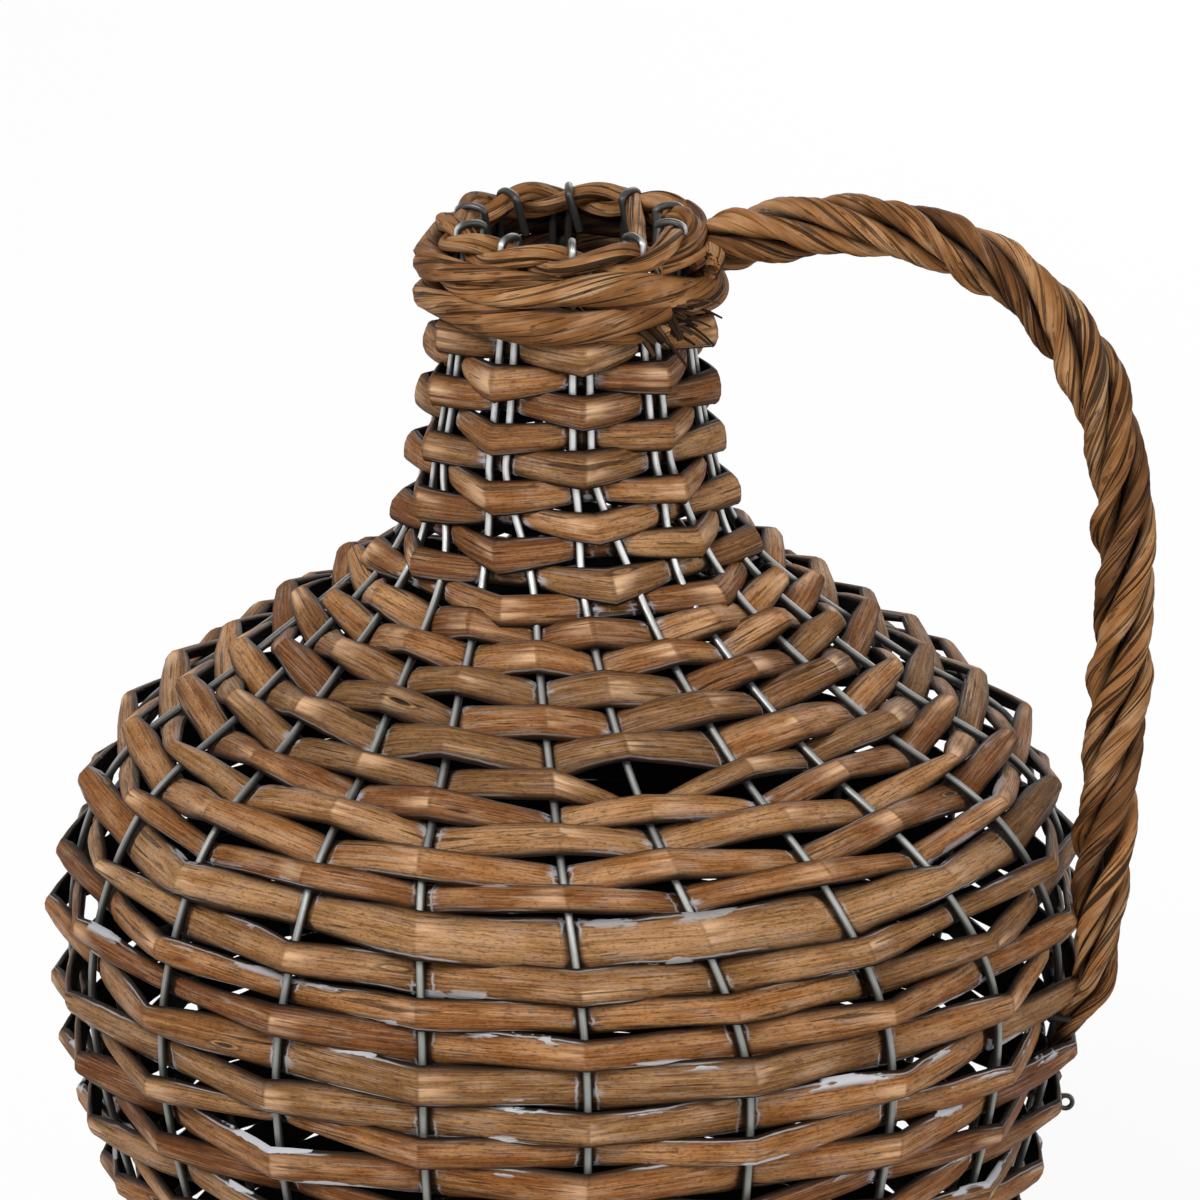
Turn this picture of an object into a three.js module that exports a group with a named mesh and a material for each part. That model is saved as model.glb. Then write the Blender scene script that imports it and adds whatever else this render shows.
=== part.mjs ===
// Wicker jug vase. Split willow strips are woven over and under ten doubled steel stakes, which
// run in pairs up the neck and fan out singly over the body. Two twined rods finish the mouth,
// a rod wraps the neck, and a four-strand twisted willow handle is anchored by its wire core.
// Millimetres, +Z up. The origin is the middle of the base board's underside.
// Azimuth 0 is the front, -Y, and grows towards +X, where the handle stands.
import * as THREE from "three";

// Stock
const WIRE_DIAMETER = 2.8;
const CORE_DIAMETER = 2.4;
const STRIP_THICKNESS = 3;
const STRIP_CROWN = 0.7; // width of a strip's outer face over that of its flat inner face
const TWINE_DIAMETER = 4.8;
const WRAP_DIAMETER = 9.4;
const STRAND_DIAMETER = 8;
const FIT = 0.3; // gap between pieces that bear on each other
const WEAVE_FIT = 0.8; // gap between a strip and the middle of the stake that it crosses
const ROW_GAP = 0.7; // gap between neighbouring rows of the weave
const END_GAP = 1; // gap between the two ends of a weft rod

// Wall stations on the circle of the stakes, from the foot upwards: radius, and rise from the last
const FOOT_RADIUS = 116;
const HIP_RADIUS = 157;
const HIP_RISE = 119;
const BELLY_RADIUS = 172;
const BELLY_RISE = 77;
const SHOULDER_RADIUS = 157;
const SHOULDER_RISE = 63;
const SLOPE_RADIUS = 112;
const SLOPE_RISE = 36;
const NECK_FOOT_RADIUS = 61;
const NECK_FOOT_RISE = 41;
const NECK_RADIUS = 47;
const NECK_RISE = 40;
const MOUTH_RADIUS = 39.6;
const MOUTH_RISE = 46;

// Weave
const PAIRS = 10;
const FRONT_AZIMUTH = 5; // middle of the first pair of stakes at the neck, degrees
const NECK_SPREAD = 3.9; // half the angle between the two stakes of a pair at the neck, degrees
const BODY_TWIST = 24; // turn of the stakes between the neck and the belly, degrees
const SIDE_LEAN = 8; // how far the stakes at the sides lean to the front on the slope, degrees
const NECK_ROWS = 10;
const NECK_PITCH = 9.5;
const BODY_ROWS = 33;
const CLIMB_WIDTH = 0.84; // share of its width that a neck rod keeps where it climbs to its next row
const TOP_ROW_DROP = 6; // from the top of the woven wall to the middle of its first row

// Rim, base board and handle
const WRAP_AZIMUTH = 40; // lower end of the neck wrap, degrees
const WRAP_TURN = 584; // degrees from the wrap's lower end to its upper end
const WRAP_CLIMB = 230; // where the wrap starts to climb from its lower turn to its upper one, degrees
const WRAP_CLIMB_TURN = 60; // degrees
const WRAP_RISE = 4; // from the top of the woven wall to the middle of the wrap's lower turn
const HOOK_DROP = 9; // length of a stake's tip inside the mouth
const BOARD_THICKNESS = 9;
const GROOVE_DEPTH = 14;
const FOOT_BEND = 4;
const HANDLE_LAY = 100; // length in which a strand makes one turn
const HANDLE_STRANDS = 4;
const HANDLE_TOP_AZIMUTH = 88; // degrees
const HANDLE_REACH = 189; // from the jug's axis to the outermost point of the handle's middle line
const HANDLE_CREST = 20; // height of the control point above the handle's upper end
const HANDLE_HANG = 108; // drop from the upper end to the outermost point
const ANCHOR_STAKE_INDEX = 3; // the stake that the handle's core is hooked round
const ANCHOR_ROW_INDEX = 27; // a row that passes inside that stake
const ANCHOR_DROP = 18; // from the lower end of the strands to the hook
const STRAND_TIP = 0.7; // share of its thickness that a strand keeps at its lower end
const STRAND_TIP_LENGTH = 40; // length over which the strands thin out towards their lower ends
const HOOK_EASE = 1.1; // radius of a hook of the core over that of a close bend
const STRAND_EASE = 1.12; // distance of a strand from the handle's middle over that of touching strands
const TOP_HOOK_START = 290; // tip of the core's hook over the wrap, degrees from outwards through up
const TOP_HOOK_TURN = 200; // degrees that the hook turns before it joins the handle

const wireRadius = WIRE_DIAMETER / 2;
const coreRadius = CORE_DIAMETER / 2;
const twineRadius = TWINE_DIAMETER / 2;
const wrapRadius = WRAP_DIAMETER / 2;
const strandRadius = STRAND_DIAMETER / 2;
const legs = 2 * PAIRS;
const weaveLift = wireRadius + WEAVE_FIT + STRIP_THICKNESS / 2;
const WIRE_SIDES = 4;
const ROUND_SIDES = 5;
const STRAND_SIDES = 6;
const FULL_TURN = 360; // degrees
const BACK_AZIMUTH = FULL_TURN / 2;
const radians = THREE.MathUtils.degToRad;

const willow = new THREE.MeshStandardMaterial({ color: 0x8a5a32, roughness: 0.7, metalness: 0 });
const darkWillow = new THREE.MeshStandardMaterial({ color: 0x7a5230, roughness: 0.7, metalness: 0 });
const steel = new THREE.MeshStandardMaterial({ color: 0x8c8f8c, roughness: 0.35, metalness: 1 });
const plywood = new THREE.MeshStandardMaterial({ color: 0xa98255, roughness: 0.8, metalness: 0 });

const jug = new THREE.Group();

function addPiece(name, geometry, material) {
  const mesh = new THREE.Mesh(geometry, material);
  mesh.name = name;
  jug.add(mesh);
}

// Point at a radius from the jug's axis, at an azimuth in degrees
function polar(radius, azimuth, height) {
  const turn = radians(azimuth);
  return new THREE.Vector3(radius * Math.sin(turn), -radius * Math.cos(turn), height);
}

// Closed solid through rings of points that run anticlockwise about the direction of travel
function loft(rings) {
  const size = rings[0].length;
  const last = (rings.length - 1) * size;
  const index = [];
  for (let start = 0; start < last; start += size) {
    for (let i = 0; i < size; i++) {
      const a = start + i;
      const b = start + ((i + 1) % size);
      index.push(a, b, a + size, b, b + size, a + size);
    }
  }
  for (let i = 1; i + 1 < size; i++) {
    index.push(0, i + 1, i, last, last + i, last + i + 1);
  }
  const position = rings.flat().flatMap((point) => point.toArray());
  const geometry = new THREE.BufferGeometry();
  geometry.setAttribute("position", new THREE.Float32BufferAttribute(position, 3));
  geometry.setIndex(index);
  geometry.computeVertexNormals();
  return geometry;
}

// Direction of travel at each point of a line
function headings(line) {
  return line.map((_, i) => {
    const next = line[Math.min(i + 1, line.length - 1)];
    const previous = line[Math.max(i - 1, 0)];
    return next.clone().sub(previous).normalize();
  });
}

// Frames carried along a path without twisting: side x up = forward
function carriedFrames(path) {
  const forwards = headings(path);
  const start = forwards[0];
  const aside = Math.abs(start.z) < 0.9 ? new THREE.Vector3(0, 0, 1) : new THREE.Vector3(1, 0, 0);
  const side = aside.cross(start).normalize();
  return forwards.map((forward, i) => {
    const turn = new THREE.Quaternion().setFromUnitVectors(forwards[Math.max(i - 1, 0)], forward);
    side.applyQuaternion(turn).addScaledVector(forward, -side.dot(forward)).normalize();
    return { forward, side: side.clone(), up: forward.clone().cross(side) };
  });
}

// Round rod or wire along a path, with the share of its radius that it has at each point
function tube(path, radius, sides, shares = path.map(() => 1)) {
  const frames = carriedFrames(path);
  return loft(
    path.map((point, i) =>
      Array.from({ length: sides }, (_, k) => {
        const turn = (2 * Math.PI * k) / sides;
        return point
          .clone()
          .addScaledVector(frames[i].side, radius * shares[i] * Math.cos(turn))
          .addScaledVector(frames[i].up, radius * shares[i] * Math.sin(turn));
      }),
    ),
  );
}

// The points of a fine line that keep each bend under MOST_BEND and each span under MOST_SPAN
const FINE_STEPS = 16;
const MOST_BEND = radians(9);
const MOST_SPAN = 45;

function bentPoints(fine) {
  const kept = [fine[0]];
  let heading = fine[1].clone().sub(fine[0]).angle();
  for (let i = 1; i + 1 < fine.length; i++) {
    const onward = fine[i + 1].clone().sub(fine[i]).angle();
    const bent = Math.abs(onward - heading) >= MOST_BEND;
    if (bent || fine[i + 1].distanceTo(kept[kept.length - 1]) > MOST_SPAN) {
      kept.push(fine[i]);
      heading = onward;
    }
  }
  kept.push(fine[fine.length - 1]);
  return kept;
}

// The wall: a smooth meridian through the stations, from the mouth down to the foot
const footHeight = BOARD_THICKNESS / 2;
const foot = new THREE.Vector2(FOOT_RADIUS, footHeight + FOOT_BEND);
const hip = new THREE.Vector2(HIP_RADIUS, foot.y + HIP_RISE);
const belly = new THREE.Vector2(BELLY_RADIUS, hip.y + BELLY_RISE);
const shoulder = new THREE.Vector2(SHOULDER_RADIUS, belly.y + SHOULDER_RISE);
const slope = new THREE.Vector2(SLOPE_RADIUS, shoulder.y + SLOPE_RISE);
const neckFoot = new THREE.Vector2(NECK_FOOT_RADIUS, slope.y + NECK_FOOT_RISE);
const neck = new THREE.Vector2(NECK_RADIUS, neckFoot.y + NECK_RISE);
const mouth = new THREE.Vector2(MOUTH_RADIUS, neck.y + MOUTH_RISE);
const stations = [mouth, neck, neckFoot, slope, shoulder, belly, hip, foot];
const curve = new THREE.SplineCurve(stations);
const meridian = bentPoints(curve.getPoints(FINE_STEPS * (stations.length - 1)));
const levels = meridian.reduce(
  (all, point, i) => (i ? [...all, all[i - 1] + point.distanceTo(meridian[i - 1])] : [0]),
  [],
);
const downWall = headings(meridian);

// Azimuth of a stake at a height, in degrees: most of the turn is just below the neck
function stakeAzimuth(leg, height) {
  const { clamp, inverseLerp, lerp, smoothstep } = THREE.MathUtils;
  const atNeck = clamp(inverseLerp(belly.y, neck.y, height), 0, 1) ** 2;
  const onSlope = smoothstep(height, belly.y, slope.y) * (1 - smoothstep(height, slope.y, neck.y));
  const spread = lerp(FULL_TURN / legs / 2, NECK_SPREAD, smoothstep(height, neckFoot.y, neck.y));
  const middle = FRONT_AZIMUTH + Math.floor(leg / 2) * (FULL_TURN / PAIRS) + BODY_TWIST * (1 - atNeck);
  const leaning = middle - SIDE_LEAN * onSlope * Math.sin(radians(middle));
  return leg % 2 ? leaning + spread : leaning - spread;
}

const stakeLines = Array.from({ length: legs }, (_, leg) =>
  meridian.map((point) => polar(point.x, stakeAzimuth(leg, point.y), point.y)),
);
const downStake = stakeLines.map(headings);

// A stake's middle at a level, measured down the wall, with its own direction and the wall's there
function stakeAt(leg, level) {
  const span = Math.max(1, levels.findIndex((end) => end >= level));
  const share = (level - levels[span - 1]) / (levels[span] - levels[span - 1]);
  const post = (leg + legs) % legs;
  const between = (line) => line[span - 1].clone().lerp(line[span], share);
  const point = between(stakeLines[post]);
  const outwards = new THREE.Vector3(point.x, point.y, 0).normalize();
  const down = between(downWall).normalize();
  const along = between(downStake[post]).normalize();
  const normal = outwards.clone().multiplyScalar(-down.y).setZ(down.x);
  return { point, outwards, along, normal };
}

// Rows of the weave: pairs of stakes are crossed in the neck, single stakes below it
const rowCount = NECK_ROWS + BODY_ROWS;
const neckEnd = TOP_ROW_DROP + (NECK_ROWS - 1) * NECK_PITCH;
const wallEnd = levels[levels.length - 1];
// The lowest row clears the stakes' feet by the gap that it keeps from a neighbour
const bodyPitch = (wallEnd + FOOT_BEND - wireRadius - ROW_GAP / 2 - neckEnd) / (BODY_ROWS + 0.5);

function rowLevel(row) {
  return row <= NECK_ROWS ? TOP_ROW_DROP + (row - 1) * NECK_PITCH : neckEnd + (row - NECK_ROWS) * bodyPitch;
}

function rowWidth(row) {
  return (row <= NECK_ROWS ? NECK_PITCH : bodyPitch) - ROW_GAP;
}

// The stake at the back where the neck's rods climb from row to row
const climbLeg = legs / 2;

function passesOutside(row, leg) {
  const post = (leg + legs) % legs;
  return (row + (row <= NECK_ROWS ? Math.floor(post / 2) : post)) % 2 === 1;
}

// Room behind the anchor stake for the hook of the handle's core
const hookRadius = (wireRadius + FIT + coreRadius) * HOOK_EASE;
const anchorRoom = hookRadius + coreRadius - wireRadius;

// Half-round section of a strip where it crosses a stake
function stripSection(row, leg) {
  const { point, along, normal } = stakeAt(leg, rowLevel(row));
  const anchored = row === ANCHOR_ROW_INDEX && (leg + legs) % legs === ANCHOR_STAKE_INDEX;
  const lift = passesOutside(row, leg) ? weaveLift : -weaveLift - (anchored ? anchorRoom : 0);
  const corner = (width, height) =>
    point.clone().addScaledVector(along, width).addScaledVector(normal, lift + height);
  const climbing = row <= NECK_ROWS && (leg % legs === climbLeg || leg % legs === climbLeg - 1);
  const flat = (rowWidth(row) / 2) * (climbing ? CLIMB_WIDTH : 1);
  const crown = flat * STRIP_CROWN;
  const half = STRIP_THICKNESS / 2;
  return [corner(-crown, half), corner(crown, half), corner(flat, -half), corner(-flat, -half)];
}

// One willow rod: its ends butt behind a stake, END_GAP apart
function weftRod(sections) {
  const trimmed = (end, inner) =>
    end.map((point, i) => point.clone().lerp(inner[i], END_GAP / 2 / point.distanceTo(inner[i])));
  const first = trimmed(sections[0], sections[1]);
  const last = trimmed(sections[sections.length - 1], sections[sections.length - 2]);
  return loft([first, ...sections.slice(1, -1), last]);
}

// The first stake, from a given one, that a row passes inside
function jointLeg(row, from) {
  return passesOutside(row, from) ? jointLeg(row, from + 1) : from;
}

// Neck: two long rods chase each other upwards, each taking every other row. They climb at the back
const NECK_RODS = 2;
for (let rod = 0; rod < NECK_RODS; rod++) {
  const sections = [];
  for (let row = NECK_ROWS - rod; row > 0; row -= NECK_RODS) {
    for (let step = 0; step < legs; step++) {
      sections.push(stripSection(row, climbLeg + step));
    }
  }
  addPiece(`neck_weft_${rod + 1}`, weftRod(sections), willow);
}

// Body: one rod to a row, with the joints spread round the wall
const JOINT_STEP = 7;
for (let row = NECK_ROWS + 1; row <= rowCount; row++) {
  const start = jointLeg(row, (row * JOINT_STEP) % legs);
  const sections = Array.from({ length: legs + 1 }, (_, step) => stripSection(row, start + step));
  addPiece(`body_weft_${row - NECK_ROWS}`, weftRod(sections), willow);
}

// Neck wrap: a stout rod wound round the stakes above the weave
const wrapPath = [];
const wrapPitch = WRAP_DIAMETER + ROW_GAP;
const wrapMiddle = MOUTH_RADIUS + wireRadius + FIT + wrapRadius;
const wrapStart = mouth.y + WRAP_RISE;
const WRAP_STEP = 18; // degrees
const wrapSteps = Math.ceil(WRAP_TURN / WRAP_STEP);
// The chords of the winding are pushed out so that their middles clear the stakes
const wrapReach = wrapMiddle / Math.cos(radians(WRAP_TURN / wrapSteps / 2));
for (let i = 0; i <= wrapSteps; i++) {
  const turned = (WRAP_TURN * i) / wrapSteps;
  const climbed = THREE.MathUtils.smoothstep(turned, WRAP_CLIMB, WRAP_CLIMB + WRAP_CLIMB_TURN);
  wrapPath.push(polar(wrapReach, WRAP_AZIMUTH - turned, wrapStart + wrapPitch * climbed));
}
addPiece("neck_wrap", tube(wrapPath, wrapRadius, STRAND_SIDES), darkWillow);

// Rim: two rods twined round the tops of the stakes, crossing between the pairs
const TWINE_STEPS = 40;
const twineTurns = PAIRS / 2;
const twineSwing = (twineRadius + wireRadius + 2 * FIT) / Math.cos(radians(twineTurns * NECK_SPREAD));
const wrapTop = wrapStart + wrapPitch;
// The twist of the rim just clears the wrap's upper turn
const rimReach = twineSwing + twineRadius + wrapRadius + FIT;
const rimHeight = wrapTop + Math.sqrt(rimReach ** 2 - (wrapMiddle - MOUTH_RADIUS) ** 2);

function twinePoint(rod, azimuth) {
  const turn = radians(twineTurns * (azimuth - FRONT_AZIMUTH)) + rod * Math.PI;
  return polar(MOUTH_RADIUS + twineSwing * Math.cos(turn), azimuth, rimHeight + twineSwing * Math.sin(turn));
}

for (let rod = 0; rod < 2; rod++) {
  const gap = (END_GAP / MOUTH_RADIUS) * THREE.MathUtils.RAD2DEG;
  const path = Array.from({ length: TWINE_STEPS + 1 }, (_, i) =>
    twinePoint(rod, BACK_AZIMUTH + gap + ((FULL_TURN - 2 * gap) * i) / TWINE_STEPS),
  );
  addPiece(`rim_twine_${rod + 1}`, tube(path, twineRadius, ROUND_SIDES), darkWillow);
}

// Base board: a disc with a groove round its edge that holds the feet of the stakes
const boardRadius = (FOOT_RADIUS - weaveLift - STRIP_THICKNESS / 2) * Math.cos(Math.PI / legs) - 2 * FIT;
const grooveFloor = boardRadius - GROOVE_DEPTH;
const BOARD_SIDES = 40;
const grooveHalf = wireRadius + FIT;
const boardOutline = [
  [0, 0],
  [boardRadius, 0],
  [boardRadius, footHeight - grooveHalf],
  [grooveFloor, footHeight - grooveHalf],
  [grooveFloor, footHeight + grooveHalf],
  [boardRadius, footHeight + grooveHalf],
  [boardRadius, BOARD_THICKNESS],
  [0, BOARD_THICKNESS],
].map(([x, y]) => new THREE.Vector2(x, y));
addPiece("base_board", new THREE.LatheGeometry(boardOutline, BOARD_SIDES).rotateX(Math.PI / 2), plywood);

// Stakes: each wire is doubled, its bend lies in the groove and its two legs climb the wall
const footRun = (grooveFloor + wireRadius + FIT) / Math.cos(Math.PI / legs);

// A leg from its foot in the groove up to the rim
function legPath(leg) {
  const azimuth = stakeAzimuth(leg, foot.y);
  const bend = polar(FOOT_RADIUS - FOOT_BEND, azimuth, footHeight);
  const knee = polar(FOOT_RADIUS - FOOT_BEND / 4, azimuth, footHeight + FOOT_BEND / 4);
  return [polar(footRun, azimuth, footHeight), bend, knee, ...stakeLines[leg].slice().reverse()];
}

// The hook of a stake over the inner rod of the rim
function hookPath(leg) {
  const azimuth = stakeAzimuth(leg, mouth.y);
  const inner = [0, 1]
    .map((rod) => twinePoint(rod, azimuth))
    .sort((a, b) => Math.hypot(a.x, a.y) - Math.hypot(b.x, b.y))[0];
  const bow = MOUTH_RADIUS - Math.hypot(inner.x, inner.y);
  const HOOK_STEPS = 5;
  const path = Array.from({ length: HOOK_STEPS + 1 }, (_, i) => {
    const turn = (Math.PI * i) / HOOK_STEPS;
    const radius = MOUTH_RADIUS - bow + bow * Math.cos(turn);
    return polar(radius, azimuth, inner.z + twineRadius + bow * Math.sin(turn));
  });
  path.push(polar(MOUTH_RADIUS - 2 * bow, azimuth, inner.z + twineRadius - HOOK_DROP));
  return path;
}

for (let pair = 0; pair < PAIRS; pair++) {
  const hooked = legPath(2 * pair);
  const plain = legPath(2 * pair + 1);
  const cutTop = polar(MOUTH_RADIUS, stakeAzimuth(2 * pair + 1, mouth.y), rimHeight);
  const path = [cutTop, ...plain.reverse(), ...hooked, ...hookPath(2 * pair)];
  addPiece(`stake_${pair + 1}`, tube(path, wireRadius, WIRE_SIDES), steel);
}

// Handle: its middle line leaves the wrap level with the core's hook and comes down to the wall
const anchor = stakeAt(ANCHOR_STAKE_INDEX, rowLevel(ANCHOR_ROW_INDEX));
const anchorAzimuth = THREE.MathUtils.radToDeg(Math.atan2(anchor.point.x, -anchor.point.y));
const topHookRadius = (wrapRadius + FIT + coreRadius) * HOOK_EASE;
const strandSwing = Math.max(strandRadius * Math.SQRT2, coreRadius + strandRadius) * STRAND_EASE;
const handleRadius = strandSwing + strandRadius;
const handleStart = new THREE.Vector2(wrapReach + wrapRadius + 2 * FIT, wrapTop + topHookRadius);
const wallAtEnd = stakeAt(ANCHOR_STAKE_INDEX, rowLevel(ANCHOR_ROW_INDEX) - ANCHOR_DROP).point;
const handleEnd = new THREE.Vector2(
  Math.hypot(wallAtEnd.x, wallAtEnd.y) + weaveLift + STRIP_THICKNESS / 2 + handleRadius * STRAND_TIP + FIT,
  wallAtEnd.z,
);
const handleOut = new THREE.Vector2(HANDLE_REACH, handleStart.y - HANDLE_HANG);
const handleLine = new THREE.CurvePath();
const OUTWARD_PULL = 0.46; // where the upper bend's control points lie between its ends
handleLine.add(
  new THREE.CubicBezierCurve(
    handleStart,
    new THREE.Vector2(
      THREE.MathUtils.lerp(handleStart.x, handleOut.x, OUTWARD_PULL),
      handleStart.y + HANDLE_CREST,
    ),
    new THREE.Vector2(handleOut.x, handleStart.y),
    handleOut,
  ),
);
const endDrop = (handleOut.y - handleEnd.y) / 3;
handleLine.add(
  new THREE.CubicBezierCurve(
    handleOut,
    new THREE.Vector2(handleOut.x, handleOut.y - endDrop),
    new THREE.Vector2(handleEnd.x, handleEnd.y + endDrop),
    handleEnd,
  ),
);
const STEPS_PER_LAY = 8;
const handleLength = handleLine.getLength();
const handleSteps = Math.ceil((handleLength / HANDLE_LAY) * STEPS_PER_LAY);
const handleMiddle = handleLine.getSpacedPoints(handleSteps).map((point, i) => {
  const azimuth = THREE.MathUtils.lerp(HANDLE_TOP_AZIMUTH, anchorAzimuth, i / handleSteps);
  return polar(point.x, azimuth, point.y);
});
const handleFrames = carriedFrames(handleMiddle);
const strandShares = handleMiddle.map((_, i) => {
  const toEnd = handleLength * (1 - i / handleSteps);
  return THREE.MathUtils.lerp(STRAND_TIP, 1, Math.min(toEnd / STRAND_TIP_LENGTH, 1));
});

for (let strand = 0; strand < HANDLE_STRANDS; strand++) {
  const path = handleMiddle.map((point, i) => {
    const laid = (handleLength * i) / handleSteps / HANDLE_LAY;
    const turn = 2 * Math.PI * (laid + strand / HANDLE_STRANDS);
    const swing = strandSwing * strandShares[i];
    return point
      .clone()
      .addScaledVector(handleFrames[i].side, swing * Math.cos(turn))
      .addScaledVector(handleFrames[i].up, swing * Math.sin(turn));
  });
  addPiece(`handle_strand_${strand + 1}`, tube(path, strandRadius, STRAND_SIDES, strandShares), darkWillow);
}

// Handle core: a wire hooked over the neck wrap above and round a stake below
const HOOK_ARC_STEPS = 6;
const topHook = Array.from({ length: HOOK_ARC_STEPS }, (_, i) => {
  const turn = radians(TOP_HOOK_START - (TOP_HOOK_TURN * i) / HOOK_ARC_STEPS);
  return polar(
    wrapMiddle + topHookRadius * Math.cos(turn),
    HANDLE_TOP_AZIMUTH,
    wrapTop + topHookRadius * Math.sin(turn),
  );
});
const sideways = new THREE.Vector3(0, 0, 1).cross(anchor.outwards);

// Point near the anchor stake: outwards from its middle, sideways and up
function nearAnchor(out, aside, up) {
  return anchor.point
    .clone()
    .addScaledVector(anchor.outwards, out)
    .addScaledVector(sideways, aside)
    .add(new THREE.Vector3(0, 0, up));
}

const clearOfWall = weaveLift + STRIP_THICKNESS / 2 + FIT + coreRadius;
const footHook = [
  nearAnchor(clearOfWall + coreRadius, hookRadius / 2, ANCHOR_DROP / 3),
  nearAnchor(clearOfWall, hookRadius, 0),
];
for (let i = 0; i <= HOOK_ARC_STEPS; i++) {
  const turn = (Math.PI * i) / HOOK_ARC_STEPS;
  footHook.push(nearAnchor(-hookRadius * Math.sin(turn), hookRadius * Math.cos(turn), 0));
}
footHook.push(nearAnchor(clearOfWall, -hookRadius, 0));
const corePath = [...topHook, ...handleMiddle, ...footHook];
addPiece("handle_core", tube(corePath, coreRadius, ROUND_SIDES), steel);

export default jug;
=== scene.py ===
import math

import bpy
import numpy as np
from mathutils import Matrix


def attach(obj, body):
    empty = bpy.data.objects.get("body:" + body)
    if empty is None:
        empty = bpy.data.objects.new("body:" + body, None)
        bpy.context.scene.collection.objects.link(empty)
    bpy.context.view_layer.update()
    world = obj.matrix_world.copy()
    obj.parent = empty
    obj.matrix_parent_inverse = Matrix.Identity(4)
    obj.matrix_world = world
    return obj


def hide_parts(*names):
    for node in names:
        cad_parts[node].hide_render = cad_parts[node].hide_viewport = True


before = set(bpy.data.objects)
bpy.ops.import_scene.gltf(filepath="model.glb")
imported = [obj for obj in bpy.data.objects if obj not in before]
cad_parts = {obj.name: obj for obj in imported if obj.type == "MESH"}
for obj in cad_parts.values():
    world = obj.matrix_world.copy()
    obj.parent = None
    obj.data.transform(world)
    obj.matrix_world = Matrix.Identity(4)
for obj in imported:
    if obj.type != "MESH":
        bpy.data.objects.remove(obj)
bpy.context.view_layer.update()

# Base board: a round of plywood that closes the foot of the jug, sawn flat on both faces. A groove
# turned into its edge takes the feet of the wire stakes. It keeps the shape that it has in the frame.
BOARD_PALE = (0.46, 0.32, 0.19)
BOARD_DARK = (0.27, 0.16, 0.085)
BOARD_GLUE = (0.10, 0.055, 0.03)
PLY = 0.0015  # thickness of one ply, metres
BOARD_RELIEF = 0.0004  # depth of its grain, metres


class Shade:
    """A socket in a finish. Sums on it add Math nodes, and node() adds any other node."""

    def __init__(self, tree, socket=None):
        self.tree = tree
        self.socket = socket

    def node(self, kind, settings, values, output=0):
        made = self.tree.nodes.new("ShaderNode" + kind)
        for name, setting in settings.items():
            setattr(made, name, setting)
        for name, value in values.items():
            if isinstance(value, Shade):
                self.tree.links.new(value.socket, made.inputs[name])
            elif isinstance(value, tuple) and len(value) == 3 and made.inputs[name].type == "RGBA":
                made.inputs[name].default_value = (*value, 1.0)
            else:
                made.inputs[name].default_value = value
        return Shade(self.tree, made.outputs[output] if made.outputs else None)

    def math(self, operation, first, second=0.0):
        return self.node("Math", {"operation": operation}, {0: first, 1: second})

    def __add__(self, other):
        return self.math("ADD", self, other)

    def __radd__(self, other):
        return self.math("ADD", other, self)

    def __sub__(self, other):
        return self.math("SUBTRACT", self, other)

    def __rsub__(self, other):
        return self.math("SUBTRACT", other, self)

    def __mul__(self, other):
        return self.math("MULTIPLY", self, other)

    def __rmul__(self, other):
        return self.math("MULTIPLY", other, self)

    def step(self, low, high):
        """0 below low, 1 above high and smooth between them."""
        return self.node(
            "MapRange",
            {"interpolation_type": "SMOOTHSTEP"},
            {"Value": self, "From Min": low, "From Max": high},
        )

    def between(self, first, second):
        """The first colour where this is 0, the second where it is 1."""
        return self.node("Mix", {"data_type": "RGBA"}, {0: self, 6: first, 7: second}, 2)

    def parts(self):
        """The three numbers of a vector."""
        return [self.node("SeparateXYZ", {}, {0: self}, i) for i in range(3)]

    def noise(self, x, y, z, detail=2.0):
        """Cloudy noise at a place that is given by three numbers."""
        place = self.node("CombineXYZ", {}, {0: x, 1: y, 2: z})
        return self.node("TexNoise", {}, {"Vector": place, "Scale": 1.0, "Detail": detail})

    def mark(self, name):
        """A vector that the mesh carries under this name."""
        return self.node("Attribute", {"attribute_name": name}, {}, 1)


def new_finish(name):
    material = bpy.data.materials.new(name)
    material.use_nodes = True
    material.node_tree.nodes.clear()
    return material, Shade(material.node_tree)


def lay_finish(shade, colour, roughness, height, depth, **fixed):
    """Ends a finish: its colour, roughness and relief over the surface, and what is the same all over."""
    relief = shade.node("Bump", {}, {"Strength": 1.0, "Distance": depth, "Height": height})
    values = {"Base Color": colour, "Roughness": roughness, "Normal": relief}
    values.update({name.replace("_", " "): value for name, value in fixed.items()})
    shade.node("OutputMaterial", {}, {"Surface": shade.node("BsdfPrincipled", {}, values)})


plywood, shade = new_finish("board_plywood")
x, y, z = shade.node("TexCoord", {}, {}, 3).parts()
facing = shade.node("NewGeometry", {}, {}, 1).parts()[2]
flat = shade.math("ABSOLUTE", facing).step(0.4, 0.6)
fibre = shade.noise(x * 14.0, y * 420.0, z * 30.0, 4.0)
broad = shade.noise(x * 5.0, y * 46.0, z * 9.0)
face = (fibre * 0.6 + broad * 0.5).step(0.35, 0.8).between(BOARD_PALE, BOARD_DARK)
ply = shade.math("PINGPONG", z, PLY)
edge = ply.step(0.2 * PLY, 0.8 * PLY).between(BOARD_GLUE, BOARD_PALE)
lay_finish(shade, flat.between(edge, face), 0.62 + 0.2 * fibre, fibre + broad, BOARD_RELIEF)
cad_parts["base_board"].data.materials.clear()
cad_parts["base_board"].data.materials.append(plywood)

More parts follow.
